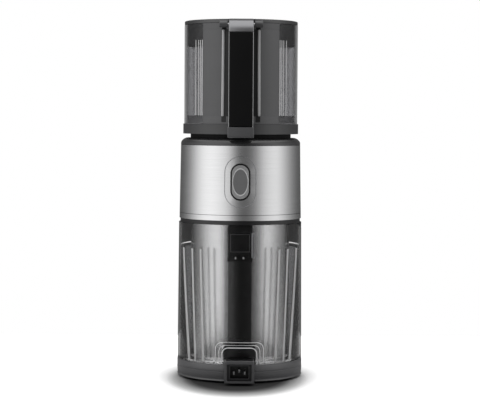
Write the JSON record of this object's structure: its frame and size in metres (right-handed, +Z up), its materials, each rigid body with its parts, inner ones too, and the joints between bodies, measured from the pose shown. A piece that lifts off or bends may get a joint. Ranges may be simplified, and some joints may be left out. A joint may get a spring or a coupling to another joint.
{
  "type": "cold press juicer",
  "caption": "Tower-shaped slow juicer: hopper with handle and lid over a steel head, geared auger drive, and C-shaped pulp and juice containers around the column.",
  "frame": {"origin": "point on the tower's axis at the surface that the feet stand on", "axes": "+Z up along the tower's axis, -Y towards the switch, handle and mains inlet, +X to the right seen from that side"},
  "size_m": [0.166, 0.1986, 0.4713],
  "materials": {
    "rubber": "matt moulded rubber",
    "dark_plastic": "fine moulded texture",
    "grey_plastic": "satin dark grey",
    "black_plastic": "semi-gloss black",
    "contact_metal": "plated contacts",
    "circuit_board": "lacquered board",
    "brushed_steel": "horizontal fine brushing",
    "cast_metal": "as cast",
    "bearing_metal": "ground steel",
    "lamination": "stacked laminations",
    "copper": "varnished copper wire",
    "gear_plastic": "natural nylon",
    "silicone": "soft grey silicone",
    "satin_trim": "satin silver paint",
    "strainer_plastic": "heat-resistant resin",
    "auger_plastic": "hard satin resin",
    "smoked_clear": "smoked transparent copolyester",
    "clear_plastic": "clear moulded copolyester",
    "dark_smoked": "dark smoked copolyester"
  },
  "bodies": {
    "base": {"feet": "rubber", "base_plate": "dark_plastic", "base_ring": "grey_plastic", "inlet_housing": "grey_plastic", "power_inlet": "black_plastic", "inlet_pins": "contact_metal", "control_board": "circuit_board", "column_core": "dark_plastic", "column_sleeve": "brushed_steel", "spine": "black_plastic", "inlet_cover": "black_plastic", "motor_brackets": "cast_metal", "motor_bearings": "bearing_metal", "stator": "lamination", "windings": "copper", "gearbox_case": "cast_metal", "gearbox_cover": "cast_metal", "idler_pin": "bearing_metal", "output_bearing": "bearing_metal", "head_floor": "black_plastic", "head_band": "brushed_steel", "head_shell": "brushed_steel", "chamber_well": "black_plastic", "shaft_seal": "silicone", "collar_ring": "black_plastic", "switch_bezel": "satin_trim", "switch_module": "black_plastic", "rocker_pin": "bearing_metal", "pulp_duct": "black_plastic", "pulp_outlet": "black_plastic", "juice_duct": "black_plastic", "front_skirt": "grey_plastic", "screws": "bearing_metal"},
    "rotor": {"rotor": "lamination", "cooling_fan": "dark_plastic"},
    "idler": {"idler_gear": "gear_plastic"},
    "output": {"output_gear": "gear_plastic", "drive_shaft": "bearing_metal"},
    "switch": {"rocker": "satin_trim"},
    "flap": {"pulp_flap": "silicone"},
    "drum": {"drum": "dark_plastic", "drum_gasket": "silicone", "strainer": "strainer_plastic"},
    "auger": {"auger": "auger_plastic", "cutting_wing": "auger_plastic"},
    "hopper": {"hopper_ring": "grey_plastic", "hopper_shell": "smoked_clear", "hopper_ribs": "smoked_clear", "hopper_seal": "silicone", "rear_panel": "grey_plastic", "handle_frame": "grey_plastic", "handle_grip": "black_plastic", "handle_cap": "satin_trim", "lid_pin": "bearing_metal"},
    "lid": {"lid": "grey_plastic", "lid_seal": "silicone"},
    "pulp_cup": {"pulp_container": "clear_plastic"},
    "juice_cup": {"juice_container": "clear_plastic", "juice_jacket": "dark_smoked"}
  },
  "joints": [
    {"name": "motor_spin", "type": "hinge", "parent": "base", "child": "rotor", "pos_m": [0, 0, 0.05], "axis": [0, 0, 1], "continuous": true},
    {"name": "idler_spin", "type": "hinge", "parent": "base", "child": "idler", "pos_m": [0.03, 0, 0.15], "axis": [0, 0, 1], "continuous": true},
    {"name": "output_spin", "type": "hinge", "parent": "base", "child": "output", "pos_m": [0, 0, 0.18], "axis": [0, 0, 1], "continuous": true},
    {"name": "auger_spin", "type": "hinge", "parent": "drum", "child": "auger", "pos_m": [0, 0, 0.22], "axis": [0, 0, 1], "continuous": true},
    {"name": "switch_tilt", "type": "hinge", "parent": "base", "child": "switch", "pos_m": [0, -0.0728, 0.261], "axis": [1, 0, 0], "range_deg": [-8, 8]},
    {"name": "flap_swing", "type": "hinge", "parent": "base", "child": "flap", "pos_m": [0, -0.0732, 0.1923], "axis": [-1, 0, 0], "range_deg": [0, 6]},
    {"name": "drum_lift", "type": "slide", "parent": "base", "child": "drum", "axis": [0, 0, 1], "range_m": [0, 0.11]},
    {"name": "hopper_lift", "type": "slide", "parent": "drum", "child": "hopper", "axis": [0, 0, 1], "range_m": [0, 0.09]},
    {"name": "lid_open", "type": "hinge", "parent": "hopper", "child": "lid", "pos_m": [0, -0.08, 0.463], "axis": [1, 0, 0], "range_deg": [0, 100]},
    {"name": "pulp_cup_slide", "type": "slide", "parent": "base", "child": "pulp_cup", "axis": [0, -1, 0], "range_m": [0, 0.12]},
    {"name": "juice_cup_slide", "type": "slide", "parent": "base", "child": "juice_cup", "axis": [0, 1, 0], "range_m": [0, 0.12]}
  ],
  "couplings": [
    {"joint": "idler_spin", "follows": "motor_spin", "ratio": -0.21212},
    {"joint": "output_spin", "follows": "motor_spin", "ratio": 0.064559},
    {"joint": "auger_spin", "follows": "motor_spin", "ratio": 0.064559}
  ]
}
